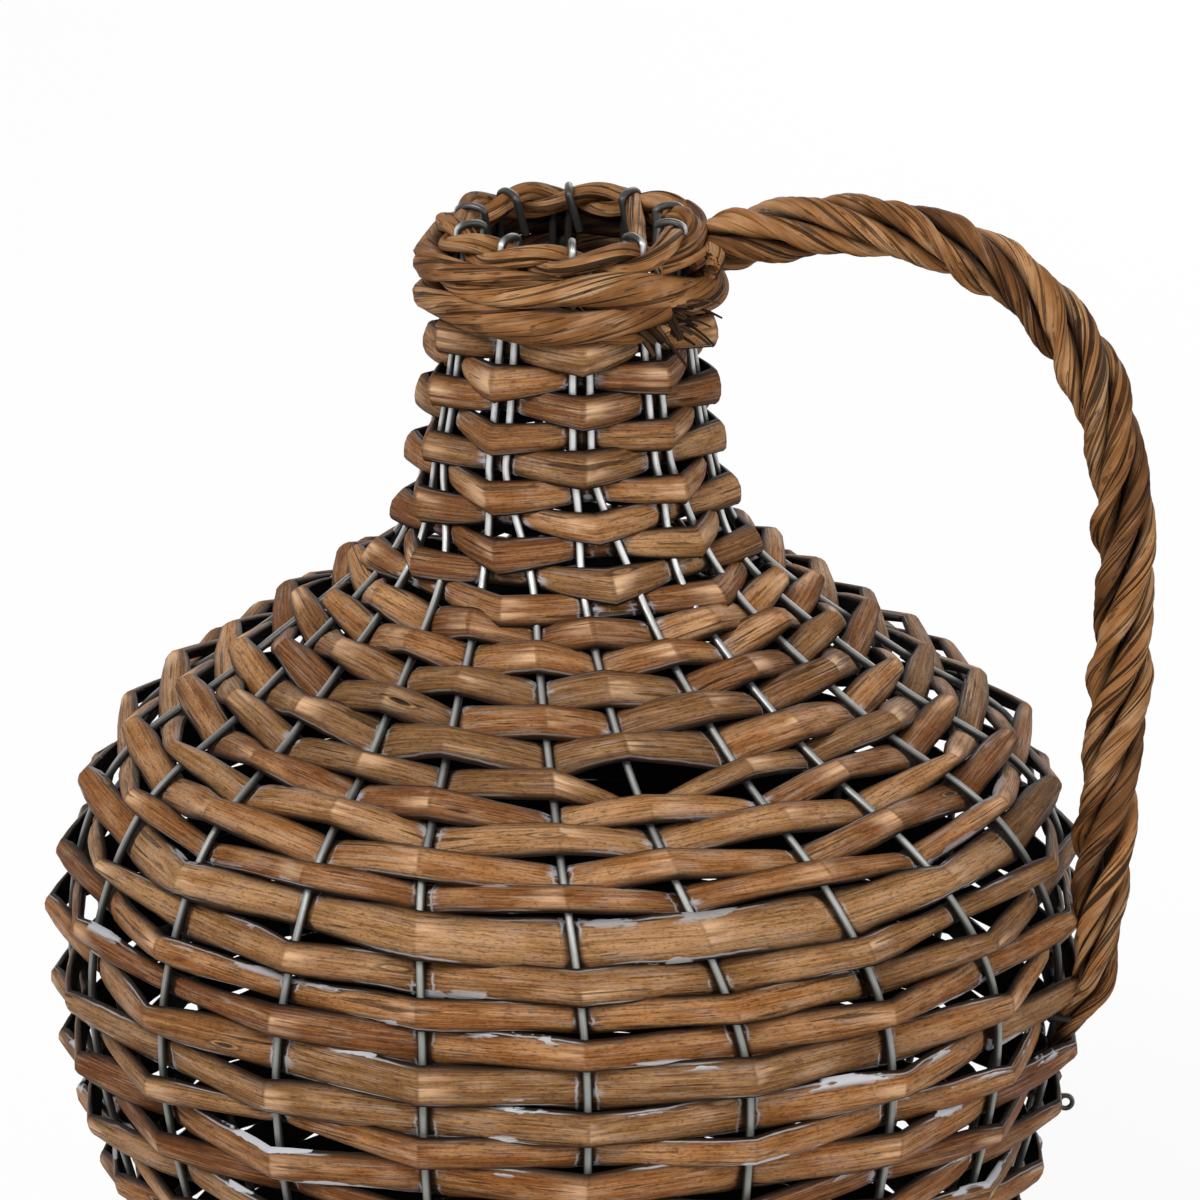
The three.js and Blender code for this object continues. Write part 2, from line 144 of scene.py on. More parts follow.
# Stakes: ten galvanised steel wires, each bent double so that its bend lies in the groove of the board
# and its two legs climb the wall. They pair up in the neck, and one leg of each pair hooks over the rim.
MM = 0.001
SHARP_EDGE = 55.0  # bend between two faces from which an edge stays crisp, degrees
STEEP = 0.9  # upright share of a heading from which it counts as steep
OFF_AXIS = 1e-6  # gives a point on the jug's axis a direction outwards
CORNER_CUT = 0.25  # share of a side that is cut off at each end to round a line
WIRE_RADIUS = 1.4
WIRE_SIDES = 10
WALL = ((39.6, 430.5), (47.0, 384.5), (61.0, 344.5), (112.0, 303.5), (157.0, 267.5), (172.0, 204.5),
        (157.0, 127.5), (116.0, 8.5))  # radius and height of the stakes from the mouth to the foot
WALL_STEPS = 16
MOUTH_RADIUS, MOUTH_HEIGHT = WALL[0]
NECK_HEIGHT = WALL[1][1]
NECK_FOOT_HEIGHT = WALL[2][1]
SLOPE_HEIGHT = WALL[3][1]
BELLY_HEIGHT = WALL[5][1]
FOOT_RADIUS, FOOT_HEIGHT = WALL[7]
PAIRS = 10
LEGS = 2 * PAIRS
FRONT_AZIMUTH = 5.0
NECK_SPREAD = 3.9
BODY_TWIST = 24.0
SIDE_LEAN = 8.0
GROOVE_HEIGHT = 4.5
GROOVE_RADIUS = 97.6
FOOT_BEND = 4.0
RIM_HEIGHT = 454.8
TWINE_RADIUS = 2.4
TWINE_SWING = 3.0
TWINE_TURNS = 5
HOOK_DROP = 12.0
HOOK_LEAN = 7.0
HOOK_BOW = 4.7
HOOK_FLAT = 0.5
HOOK_POINTS = 9
ZINC_PALE = (0.60, 0.60, 0.59)
ZINC_DULL = (0.25, 0.255, 0.235)
ZINC_DARK = (0.045, 0.043, 0.038)
ZINC_METAL = 0.6
ZINC_RELIEF = 0.0002  # depth of its drawing lines, metres


def smooth(value, low, high):
    share = np.clip((value - low) / (high - low), 0.0, 1.0)
    return share * share * (3.0 - 2.0 * share)


def unit(vectors):
    return vectors / np.linalg.norm(vectors, axis=-1, keepdims=True)


def polar(radius, azimuth, height):
    """Points by their distance from the jug's axis, their azimuth in degrees and their height."""
    turn = np.radians(azimuth)
    return np.stack(np.broadcast_arrays(radius * np.sin(turn), -radius * np.cos(turn), height), -1)


def through(points, steps):
    """A smooth line through the points, with a number of steps to each span."""
    points = np.asarray(points, float)
    ends = np.vstack([points[:1], points, points[-1:]])
    t = np.linspace(0.0, 1.0, steps, endpoint=False)[:, None]
    spans = []
    for a, b, c, d in zip(ends, ends[1:], ends[2:], ends[3:]):
        leave, reach = (c - a) / 2, (d - b) / 2
        cubic = 2 * b - 2 * c + leave + reach
        square = 3 * c - 3 * b - 2 * leave - reach
        spans.append(cubic * t**3 + square * t**2 + leave * t + b)
    return np.vstack([*spans, points[-1:]])


def run_along(path):
    """Distance along a path at each of its points."""
    return np.concatenate([[0.0], np.cumsum(np.linalg.norm(np.diff(path, axis=0), axis=1))])


wall = through(WALL, WALL_STEPS)
levels = run_along(wall)
down_wall = unit(np.gradient(wall, levels, axis=0))


def stake_azimuth(leg, height):
    at_neck = np.clip((height - BELLY_HEIGHT) / (NECK_HEIGHT - BELLY_HEIGHT), 0.0, 1.0) ** 2
    on_slope = smooth(height, BELLY_HEIGHT, SLOPE_HEIGHT) * (1 - smooth(height, SLOPE_HEIGHT, NECK_HEIGHT))
    paired = smooth(height, NECK_FOOT_HEIGHT, NECK_HEIGHT)
    spread = 180.0 / LEGS * (1 - paired) + NECK_SPREAD * paired
    middle = FRONT_AZIMUTH + (leg // 2) * 360.0 / PAIRS + BODY_TWIST * (1 - at_neck)
    return middle - SIDE_LEAN * on_slope * np.sin(np.radians(middle)) + (spread if leg % 2 else -spread)


def stake_point(leg, level):
    height = np.interp(level, levels, wall[:, 1])
    return polar(np.interp(level, levels, wall[:, 0]), stake_azimuth(leg % LEGS, height), height)


def pair_point(pair, level):
    return (stake_point(2 * pair, level) + stake_point(2 * pair + 1, level)) / 2


def carried(path):
    """Heading, side and up along a path, carried without twisting: side x up = heading."""
    heading = unit(np.gradient(path, axis=0))
    side = np.cross((0.0, 0.0, 1.0) if abs(heading[0][2]) < STEEP else (1.0, 0.0, 0.0), heading[0])
    sides = []
    for ahead in heading:
        side = unit(side - ahead * np.dot(side, ahead))
        sides.append(side)
    return heading, np.array(sides), np.cross(heading, sides)


def sleeve(rings, **marks):
    """Points, faces and marks of a closed skin through rings that run anticlockwise about their path."""
    rings = np.asarray(rings, float)
    steps, around = rings.shape[:2]
    first = np.arange(steps - 1)[:, None] * around
    here, beside = np.arange(around), (np.arange(around) + 1) % around
    faces = np.stack([first + here, first + beside, first + around + beside, first + around + here], -1)
    last = (steps - 1) * around
    ends = [tuple(range(around))[::-1], tuple(range(last, last + around))]
    return rings.reshape(-1, 3), [*map(tuple, faces.reshape(-1, 4).tolist()), *ends], {
        name: np.asarray(values, np.float32).reshape(-1, 3) for name, values in marks.items()
    }


def join(name, skins, finish):
    """One object of one or more skins, in metres, with its finish and the frame's body."""
    points, faces, marks, count = [], [], {}, 0
    for skin_points, skin_faces, skin_marks in skins:
        points.append(skin_points)
        faces += [tuple(i + count for i in face) for face in skin_faces]
        count += len(skin_points)
        for mark, values in skin_marks.items():
            marks.setdefault(mark, []).append(values)
    mesh = bpy.data.meshes.new(name)
    mesh.from_pydata((np.vstack(points) * MM).tolist(), [], faces)
    for mark, values in marks.items():
        layer = mesh.attributes.new(mark, "FLOAT_VECTOR", "POINT")
        layer.data.foreach_set("vector", np.vstack(values).ravel())
    mesh.shade_smooth()
    mesh.set_sharp_from_angle(angle=math.radians(SHARP_EDGE))
    mesh.materials.append(finish)
    piece = bpy.data.objects.new(name, mesh)
    bpy.context.scene.collection.objects.link(piece)
    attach(piece, "root")
    return piece


def wire_skin(path, radius):
    """A round wire along a path. Its marks say how far along and how high a point lies and how it faces."""
    path = np.asarray(path, float)
    _, side, up = carried(path)
    turn = np.arange(WIRE_SIDES) * 2 * np.pi / WIRE_SIDES
    spokes = np.cos(turn)[:, None] * side[:, None] + np.sin(turn)[:, None] * up[:, None]
    run = run_along(path)
    grain = np.stack(np.broadcast_arrays(run[:, None], np.sin(turn) * radius, path[:, 2:3]), -1) * MM
    outward = np.sum(spokes * unit(path * (1.0, 1.0, 0.0) + OFF_AXIS)[:, None], -1)
    place = np.stack([outward, np.zeros_like(outward), np.zeros_like(outward)], -1)
    return sleeve(path[:, None] + radius * spokes, grain=grain, place=place)


def rounded(points, times=2):
    """A line with its corners cut."""
    for _ in range(times):
        a, b = points[:-1], points[1:]
        near, far = 1.0 - CORNER_CUT, CORNER_CUT
        cut = np.stack([near * a + far * b, far * a + near * b], 1).reshape(-1, 3)
        points = np.vstack([points[:1], cut, points[-1:]])
    return points


def twine_point(rod, azimuth):
    turn = np.radians(TWINE_TURNS * (azimuth - FRONT_AZIMUTH)) + rod * np.pi
    return polar(MOUTH_RADIUS + TWINE_SWING * np.cos(turn), azimuth, RIM_HEIGHT + TWINE_SWING * np.sin(turn))


zinc, shade = new_finish("galvanised_wire")
run, across, height = shade.mark("grain").parts()
proud = shade.mark("place").parts()[0]
draw = shade.noise(run * 30.0, across * 5200.0, height * 7.0, 3.0)
cloud = shade.noise(run * 160.0, across * 500.0, height * 3.0, 3.0)
# Paler higher up the jug, and in clouds.
paler_higher_up = height.step(0.22, 0.36) * 0.75 + cloud * 0.35
colour = paler_higher_up.step(0.1, 0.9).between(ZINC_DULL, ZINC_PALE)
# Painted shade: the sides of the wire that face in towards the jug are darkened.
colour = (1.0 - proud.step(0.2, 0.95)).between(colour, ZINC_DARK)
colour = (draw.step(0.52, 0.72) * 0.35 + cloud.step(0.6, 0.75) * 0.35).between(colour, ZINC_DARK)
gloss = 0.46 - 0.18 * paler_higher_up.step(0.2, 0.9) + 0.12 * draw
lay_finish(shade, colour, gloss, draw, ZINC_RELIEF, Metallic=ZINC_METAL)

for pair in range(PAIRS):
    climbs = []
    for leg in (2 * pair + 1, 2 * pair):
        foot = stake_azimuth(leg, FOOT_HEIGHT)
        climb = stake_point(leg, levels[::2])
        bend = [polar(FOOT_RADIUS - FOOT_BEND / 4, foot, GROOVE_HEIGHT + FOOT_BEND / 4),
                polar(FOOT_RADIUS - FOOT_BEND, foot, GROOVE_HEIGHT),
                polar(GROOVE_RADIUS, foot, GROOVE_HEIGHT)]
        climbs.append(np.vstack([climb, bend]))
    cut_azimuth = stake_azimuth(2 * pair + 1, MOUTH_HEIGHT)
    hook_azimuth = stake_azimuth(2 * pair, MOUTH_HEIGHT)
    inner = min((twine_point(rod, hook_azimuth) for rod in (0, 1)), key=lambda point: np.hypot(*point[:2]))
    turn = np.linspace(0.0, np.pi, HOOK_POINTS)
    top = inner[2] + TWINE_RADIUS
    hook = polar(MOUTH_RADIUS - HOOK_BOW + HOOK_BOW * np.cos(turn), hook_azimuth,
                 top + HOOK_FLAT * HOOK_BOW * np.sin(turn))
    tip = polar(MOUTH_RADIUS - 2 * HOOK_BOW, hook_azimuth - HOOK_LEAN, top - HOOK_DROP)
    cut = polar(MOUTH_RADIUS, cut_azimuth, RIM_HEIGHT)
    path = np.vstack([cut, climbs[0], climbs[1][::-1], hook, tip])
    wire = join(f"wire_stake_{pair + 1}", [wire_skin(rounded(path), WIRE_RADIUS)], zinc)
    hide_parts(f"stake_{pair + 1}")

# Body weft: willow rods split in half, bark side out, one to a row. Each goes over one stake and under
# the next, creases over the stakes that it goes over, and hides its two ends behind a stake.
STRIP_THICKNESS = 3.4
THICKNESS_WAVES = ((0.08, 31.0),)  # shares by which it comes and goes along a strip, and over what stretch
UPPER_WAVES = ((0.07, 23.0), (0.055, 7.3))  # and by which the strip's edges do
LOWER_WAVES = ((0.07, 19.0), (0.055, 8.1))
STRIP_TILT = 5.0  # degrees by which a strip leans at a stake, about
STAKE_STEP = 2  # length to either side over which a stake's direction is taken
RIDGES = ((0.12, 4.7, 1.0), (0.08, 8.3, -1.5))  # height, closeness and drift of the ridges along the bark
RIDGE_STRETCH = 40.0
OUTSIDE = 4.2  # lift of a strip's middle off the wall where it folds over a stake
INSIDE = -3.1  # and where it lies behind one
OUTSIDE_SPREAD = 1.2  # how much further a loose fold stands out
INSIDE_SPREAD = 0.6  # and how much deeper a strip lies behind a stake
EVEN_FALL = 0.75  # share of a strip's fall from a fold to the next stake that is even along the way
BEHIND = 0.1  # share of a span that is round behind a stake
BEHIND_CURVE = 3.2
SIDE_STAND = 2.6  # how much further the folds stand out at the sides of the jug
SIDE_SPREAD = (0.3, 1.2)  # shares of that
SIDE_NARROW = 0.04  # share of its width that a strip loses there
SIDE_TAPER = 0.14  # and the further share that it loses where it goes behind a stake there
SIDE_PINCH = 0.34  # and where it folds over one
PINCH_REACH = 8.0
SIDE_EVEN = 0.6  # how far the rows come to one width there
WIDTH_SHARES = (1.02, 1.16)  # width of a strip by the height of its row
ROW_SLIP = 0.7  # how far a strip slips along a stake, about
NECK_ROWS = 10
TOP_ROW = 6.0
NECK_PITCH = 9.5
BODY_ROWS = 33
FOOT_GAP = 0.35
BODY_SEED = 700
ANCHOR_LEG = 3
ANCHOR_ROW = 27
ANCHOR_PUSH = 3.0  # how much deeper the strip lies behind the handle's hook
JOINT_PUSH = 2.4  # and the last end of a strip behind its first
JOINT_STEP = 7
ROW_SHARES = (0.97, 0.97, 1.0, 1.05, 1.15, 0.95, 0.9, 1.02, 0.96, 0.78, 1.38, 0.96, 0.84, 0.96, 1.13, 1.06,
              0.84, 1.1, 0.92, 1.05, 0.88, 1.12, 1.0, 0.9, 1.1, 1.04, 0.86, 1.0, 1.1, 0.95, 1.02, 0.98, 1.05)
# Loose crossings by row and leg: the strip's shift along the stake and the share of its width left.
PULLED = {
    (14, 2): (-1.5, 0.8), (15, 0): (-1.6, 0.92), (15, 19): (-0.6, 1.0), (16, 0): (8.6, 0.4),
    (16, 1): (0.2, 1.0), (16, 2): (-3.0, 0.8), (16, 19): (0.4, 1.0), (17, 1): (2.0, 0.85),
    (18, 3): (2.5, 0.7), (18, 15): (2.5, 0.7), (19, 1): (2.0, 0.8), (20, 2): (2.0, 0.8),
    (20, 16): (2.0, 0.7), (21, 17): (-2.0, 0.75), (22, 2): (-1.5, 0.7), (22, 15): (-2.0, 0.7),
    (23, 17): (1.5, 0.75), (24, 16): (2.5, 0.6), (25, 3): (-2.0, 0.75), (26, 8): (0.6, 1.2),
    (26, 9): (0.6, 1.2), (27, 8): (-0.5, 1.25), (27, 9): (-0.5, 1.25), (27, 17): (-2.0, 0.7),
    (29, 18): (1.5, 0.75), (31, 1): (-2.0, 0.7),
}
BODY_FLARE = 0.17  # share of its width that a strip gains where it is pressed flat behind a stake
FLARE_REACH = 12.0
NEW_ROD = 0.4  # chance that a fresh length of willow starts behind a stake
BARK_MID = (0.250, 0.092, 0.0205)
BARK_PALE = (0.560, 0.318, 0.148)
BARK_FACET_HIGHLIGHT = (0.680, 0.430, 0.250)
BARK_RED = (0.128, 0.039, 0.008)
BARK_GREY = (0.170, 0.092, 0.034)
BARK_DARK = (0.042, 0.0150, 0.0045)
# The next colour serves for cracks and also for painted shade on the strips and the rods.
CRACK_AND_SHADE = (0.007, 0.0030, 0.0014)
CHALK = (0.50, 0.51, 0.54)
UNLIT = (0.003, 0.0016, 0.001)
FILM = (0.30, 0.25, 0.23)
BARK_RELIEF = 0.0007  # depth of its grain, metres
BARK_SHEEN = 0.1
SHARES = np.array((0.0, 0.012, 0.04, 0.14, 0.32, 0.5, 0.68, 0.86, 0.96, 0.988))  # places along a span
OUTER = ((-1.0, 0.22), (-0.95, 0.44), (-0.82, 0.66), (-0.48, 0.91), (0.0, 1.0), (0.48, 0.91), (0.82, 0.66),
         (0.95, 0.44), (1.0, 0.22))
INNER = ((0.92, 0.03), (0.45, 0.0), (0.0, 0.0), (-0.45, 0.0), (-0.92, 0.03))
SECTION = np.array(OUTER + INNER)

neck_end = TOP_ROW + (NECK_ROWS - 1) * NECK_PITCH
body_pitch = (levels[-1] + FOOT_BEND - WIRE_RADIUS - FOOT_GAP - neck_end) / (BODY_ROWS + 0.5)
row_shares = np.array(ROW_SHARES) / np.mean(ROW_SHARES)
row_edges = neck_end + body_pitch * (0.5 + np.concatenate([[0.0], np.cumsum(row_shares)]))


def plunge(share):
    """From 1 at a fold to -1 behind a stake: nearly straight, steeper near the stake, and round behind it."""
    bent = 1.0 - 2.0 * (EVEN_FALL * share + (1.0 - EVEN_FALL) * share**4)
    back = 1.0 - share
    return np.where(back < BEHIND, -1.0 + BEHIND_CURVE * back**2 / (2 * BEHIND), bent)


def past_nearest(run, posts):
    """How far each place along a run lies past the post nearest to it, and below 0 before that."""
    past = run[:, None] - posts
    return past[np.arange(len(run)), np.argmin(np.abs(past), axis=1)]


def waves(run, sizes, starts):
    """Shares about 1 that come and go along a run: each wave has a size, a stretch and a start."""
    shares = np.ones_like(run)
    for (size, stretch), start in zip(sizes, starts):
        shares = shares + size * np.sin(run / stretch + start)
    return shares


def weft_skin(crossings, chance, rod, flare, level_lift=False):
    """A split rod through crossings: a line down the wall as a function of level, the level there, the
    lift off the wall, the width and the share of it that a fold pinches off. It lifts level or square
    to the wall, and its number sets its grain."""
    lines, rows, lifts, widths, pinches = zip(*crossings)
    rows, lifts, widths, pinches = np.array(rows), np.array(lifts), np.array(widths), np.array(pinches)
    count = len(rows)
    middles = np.array([line(row) for line, row in zip(lines, rows)])
    along = [line(row + STAKE_STEP) - line(row - STAKE_STEP) for line, row in zip(lines, rows)]
    along = unit(np.array(along))
    down = np.stack([np.interp(rows, levels, down_wall[:, i]) for i in range(2)], -1)
    outward = unit(middles * (1.0, 1.0, 0.0))
    normals = outward if level_lift else outward * -down[:, 1:] + np.array((0.0, 0.0, 1.0)) * down[:, :1]
    tilts = np.radians(chance.normal(0.0, STRIP_TILT, count))
    fresh = (lifts[:-1] < 0) & (chance.uniform(size=count - 1) < NEW_ROD)
    tones = chance.uniform(0.0, 1.0, count)[np.cumsum(fresh)]

    span = np.append(np.repeat(np.arange(count - 1), len(SHARES)), count - 2)
    share = np.append(np.tile(SHARES, count - 1), 1.0)

    def blend(values):
        weight = share.reshape(-1, *[1] * (values.ndim - 1))
        return values[span] * (1 - weight) + values[span + 1] * weight

    here, ahead = lifts[span], lifts[span + 1]
    falling = (here + ahead) / 2 + (here - ahead) / 2 * plunge(share)
    rising = (here + ahead) / 2 + (ahead - here) / 2 * plunge(1 - share)
    lift = np.where((here > 0) == (ahead > 0), blend(lifts), np.where(here > 0, falling, rising))
    middle = blend(middles) + unit(blend(normals)) * lift[:, None]
    across = unit(blend(along))
    face = unit(np.cross(across, unit(np.gradient(middle, axis=0))))
    lean = blend(tilts)[:, None]
    across, face = across * np.cos(lean) + face * np.sin(lean), face * np.cos(lean) - across * np.sin(lean)

    run = run_along(middle)
    posts = run[np.minimum(np.arange(count) * len(SHARES), len(run) - 1)]
    to_wire = np.abs(past_nearest(run, posts[lifts < 0]))
    past_fold = past_nearest(run, posts[lifts > 0])
    half = blend(widths) / 2 * (1 + flare * np.exp(-((to_wire / FLARE_REACH) ** 2)))
    half *= 1 - blend(pinches) * np.exp(-((past_fold / PINCH_REACH) ** 2))
    phase = chance.uniform(0.0, 2 * np.pi, 7)
    upper = waves(run, UPPER_WAVES, phase[0:2])
    lower = waves(run, LOWER_WAVES, phase[2:4])
    u, d = SECTION.T
    reach = half[:, None] * u * np.where(u < 0, upper[:, None], lower[:, None])
    thick = STRIP_THICKNESS * waves(run, THICKNESS_WAVES, phase[4:5])[:, None]
    drawn = run[:, None] / RIDGE_STRETCH
    ridges = np.zeros_like(reach)
    for (high, close, drift), start in zip(RIDGES, phase[5:]):
        ridges = ridges + high * np.sin(close * u + drift * drawn + start)
    depth = thick * (d - 0.5) + ridges * (d > 0.5)
    rings = middle[:, None] + across[:, None] * reach[..., None] + face[:, None] * depth[..., None]

    whole = np.ones_like(reach)
    grain = np.stack([run[:, None] * whole * MM, reach * MM, whole * rod], -1)
    place = np.stack([whole * d, np.abs(u) * whole, tones[span][:, None] * whole], -1)
    fold = np.stack([to_wire[:, None] * whole, past_fold[:, None] * whole, u * whole], -1)
    return sleeve(rings, grain=grain, place=place, fold=fold)


split_willow, shade = new_finish("split_willow")
run, across, rod = shade.mark("grain").parts()
outward, edge, tone = shade.mark("place").parts()
wire, past_fold, side = shade.mark("fold").parts()
crease = shade.math("ABSOLUTE", past_fold)
fibre = shade.noise(run * 42.0, across * 1700.0, rod * 7.7 + tone * 9.0, 4.0)
pore = shade.noise(run * 170.0, across * 1100.0, rod * 5.1 + tone * 7.0, 3.0)
streak = shade.noise(run * 19.0, across * 400.0, rod * 5.1 + tone * 5.0, 4.0)
cloud = shade.noise(run * 55.0, across * 170.0, rod * 3.3 + tone * 3.0, 3.0)
grit = shade.noise(run * 640.0, across * 1600.0, rod * 2.1, 3.0)
hue = shade.noise(tone * 37.0, rod * 0.71, 0.5, 0.0)

# The bark's colour: red brown, tan or grey brown by the length of rod, clouded and streaked along it, and a
# painted highlight on one side of a fold. Low is 1 in the belly's rows and 0 in the shoulder and the neck.
low = rod.step(15.0, 27.0) * (1.0 - rod.step(50.0, 55.0))
colour = (tone * 0.95 + cloud * 0.6 + streak * 0.3 - 0.56).step(-0.05, 0.75).between(BARK_RED, BARK_MID)
colour = (hue.step(0.52, 0.62) * 0.6).between(colour, BARK_GREY)
pale = (cloud * 0.9 + streak * 0.7 + tone * 0.35).step(0.86, 1.28)
# Painted light: the rows of the shoulder and the neck are painted paler than those of the belly, as if lit
# more from above.
colour = (pale * (0.52 - 0.14 * low) + 0.06 * (1.0 - low)).between(colour, BARK_PALE)
colour = ((1.0 - fibre.step(0.36, 0.48)) * 0.22).between(colour, BARK_PALE)
colour = (fibre.step(0.49, 0.66) * 0.48).between(colour, BARK_DARK)
colour = (pore.step(0.56, 0.68) * 0.6).between(colour, BARK_DARK)
colour = (grit.step(0.51, 0.68) * 0.5).between(colour, BARK_DARK)
film = shade.noise(run * 60.0, across * 2100.0, rod * 6.3 + tone * 4.0, 3.0).step(0.53, 0.67)
colour = (film * cloud.step(0.36, 0.56) * 0.5).between(colour, FILM)
# Painted highlight: a pale lit facet on one side of each fold, the side chosen at random, stronger in the
# shoulder and the neck.
before = past_fold.step(-14.0, -1.5) * (1.0 - past_fold.step(-0.8, 0.1))
after = (1.0 - past_fold.step(1.5, 14.0)) * past_fold.step(-0.1, 0.8)
facet = before + (after - before) * hue.step(0.49, 0.51)
facet_highlight = facet * (1.0 - edge.step(0.3, 0.9)) * outward.step(0.6, 0.9) * wire.step(2.0, 6.0)
facet_highlight = facet_highlight * cloud.step(0.3, 0.6) * streak.step(0.35, 0.58) * (0.8 - 0.25 * low)
colour = facet_highlight.between(colour, BARK_FACET_HIGHLIGHT)
colour = ((1.0 - crease.step(0.1, 0.6)) * cloud.step(0.46, 0.58) * 0.25).between(colour, BARK_DARK)

# Cracks along the grain, knots with a pale ring, and painted shade along the edges and beside the stakes.
# Painted shade: the strip darkens towards both its edges.
colour = (edge.step(0.25, 0.95) * (0.15 + 0.6 * cloud)).between(colour, BARK_DARK)
split = streak.step(0.645, 0.685)
colour = (split * 0.65).between(colour, CRACK_AND_SHADE)
spot = shade.node("CombineXYZ", {}, {0: run * 20.0, 1: across * 92.0, 2: rod * 1.7 + tone * 11.0})
chosen = shade.node("TexVoronoi", {}, {"Vector": spot, "Scale": 1.0}, 1).parts()[0].step(0.56, 0.58)
knot = shade.node("TexVoronoi", {}, {"Vector": spot, "Scale": 1.0})
knot = knot + 0.16 * (cloud - 0.5) + 0.2 - 0.2 * chosen
eye = 1.0 - knot.step(0.04, 0.075)
ring = knot.step(0.055, 0.08) * (1.0 - knot.step(0.08, 0.12))
halo = knot.step(0.09, 0.12) * (1.0 - knot.step(0.12, 0.16))
colour = (ring * 0.3).between(colour, BARK_PALE)
colour = ((eye + halo * 0.6) * 0.85).between(colour, CRACK_AND_SHADE)
# Painted shade where the strip meets the rows beside it and where it goes in behind a stake, and a dark
# painted outline along its very edge.
near = 1.0 - wire.step(1.5, 5.0)
painted_shade = edge.step(0.55, 1.0) * (0.3 + 0.8 * cloud) + near * (0.35 + cloud * 0.9)
colour = (painted_shade.step(0.1, 0.85) * 0.94).between(colour, CRACK_AND_SHADE)
colour = (edge.step(0.88, 0.97) * 0.8).between(colour, CRACK_AND_SHADE)

# Chalky finish left in the seams: thin lines on the edges, smears beside the stakes, patches lower down.
dust = shade.noise(run * 120.0, side * 2.6, rod * 9.1, 4.0)
dusty = shade.noise(run * 24.0, side * 0.8, rod * 4.7, 1.0)
wavy = edge + 0.16 * (dust - 0.5) + 0.10 * (cloud - 0.5)
rim_dust = wavy.step(0.80, 0.84) * (1.0 - wavy.step(0.87, 0.91))
rim_dust = rim_dust * dusty.step(0.49, 0.60) * (0.22 + 0.42 * low)
beside = wire + 3.0 * (cloud - 0.5) + 2.0 * (dust - 0.5)
outline = beside.step(2.7, 3.2) * (1.0 - beside.step(3.4, 4.2))
outline = outline * dusty.step(0.42, 0.56) * (0.45 + 0.3 * low)
smear = wire.step(1.6, 2.4) * (1.0 - wire.step(3.0, 7.0)) * dust.step(0.49, 0.58) * dusty.step(0.51, 0.60)
wire_dust = shade.math("MAXIMUM", outline, 0.8 * smear)
patch = edge.step(0.45, 0.75) * (dusty + 0.28 * dust).step(0.790, 0.812) * low
chalk = shade.math("MAXIMUM", shade.math("MAXIMUM", rim_dust, wire_dust), patch)
colour = (chalk * 0.85).between(colour, CHALK)
inner = 1.0 - outward.step(0.04, 0.24)
colour = inner.between(colour, UNLIT)
relief = 0.5 * streak - 0.4 * fibre - 0.4 * pore - split - 0.9 * eye + 0.4 * ring + 0.4 * cloud + 0.5 * chalk
gloss = 0.50 - 0.12 * pale + 0.3 * chalk + 0.2 * fibre + 0.3 * inner
lay_finish(shade, colour, gloss, relief, BARK_RELIEF, Specular_IOR_Level=BARK_SHEEN)


def passes_outside(row, leg):
    post = leg % LEGS
    return (row + (post // 2 if row <= NECK_ROWS else post)) % 2 == 1


def leg_line(leg):
    return lambda level: stake_point(leg, level)


for row in range(NECK_ROWS + 1, NECK_ROWS + BODY_ROWS + 1):
    chance = np.random.default_rng(BODY_SEED + row)
    first_leg = (row * JOINT_STEP) % LEGS
    first_leg += passes_outside(row, first_leg)
    top, bottom = row_edges[row - NECK_ROWS - 1:row - NECK_ROWS + 1]
    crossings = []
    for leg in range(first_leg, first_leg + LEGS + 1):
        post = leg % LEGS
        at = stake_point(post, (top + bottom) / 2)
        sideways = at[0] ** 2 / (at[0] ** 2 + at[1] ** 2)
        loose = chance.normal(0.0, ROW_SLIP), chance.uniform(*WIDTH_SHARES) - SIDE_NARROW * sideways
        shift, share = PULLED.get((row, post), loose)
        if passes_outside(row, leg):
            lift = OUTSIDE + chance.uniform(0.0, OUTSIDE_SPREAD)
            lift += SIDE_STAND * sideways * chance.uniform(*SIDE_SPREAD)
        else:
            lift = INSIDE - chance.uniform(0.0, INSIDE_SPREAD)
        if leg == first_leg + LEGS:
            lift -= JOINT_PUSH
        if (row, post) == (ANCHOR_ROW, ANCHOR_LEG):
            lift -= ANCHOR_PUSH
        if lift < 0:
            share *= 1.0 - SIDE_TAPER * sideways
        width = share * ((bottom - top) * (1 - SIDE_EVEN * sideways) + body_pitch * SIDE_EVEN * sideways)
        crossings.append((leg_line(leg), (top + bottom) / 2 + shift, lift, width, SIDE_PINCH * sideways))
    skin = weft_skin(crossings, chance, row, BODY_FLARE)
    strip = join(f"body_strip_{row - NECK_ROWS}", [skin], split_willow)
    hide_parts(f"body_weft_{row - NECK_ROWS}")

# Neck weft: two long split rods that chase each other up the neck, over and under pairs of stakes,
# every other row each. They fold sharply over the pairs and step up to their next row at the back.
NECK_RODS = 2
NECK_SEED = 300
NECK_GRAIN = 60  # number of the first rod, by which its grain differs
NECK_OUTSIDE = 6.8  # lift of a strip's fold over a pair of stakes
NECK_LOOSE = 0.8  # how far that varies, about
NECK_SLIP = 0.5  # how far a strip slips along the stakes, about
NECK_WIDTHS = (1.2, 1.38)  # width of a strip by the height of its row
NECK_FLARE = -0.05
NECK_TAPER = 0.78  # share of its width that a strip has where it goes behind a stake
FOLD_DROP = 0.8  # how far a fold sags down the wall
BACK_PAIR = PAIRS // 2


def pair_line(pair):
    return lambda level: pair_point(pair % PAIRS, level)


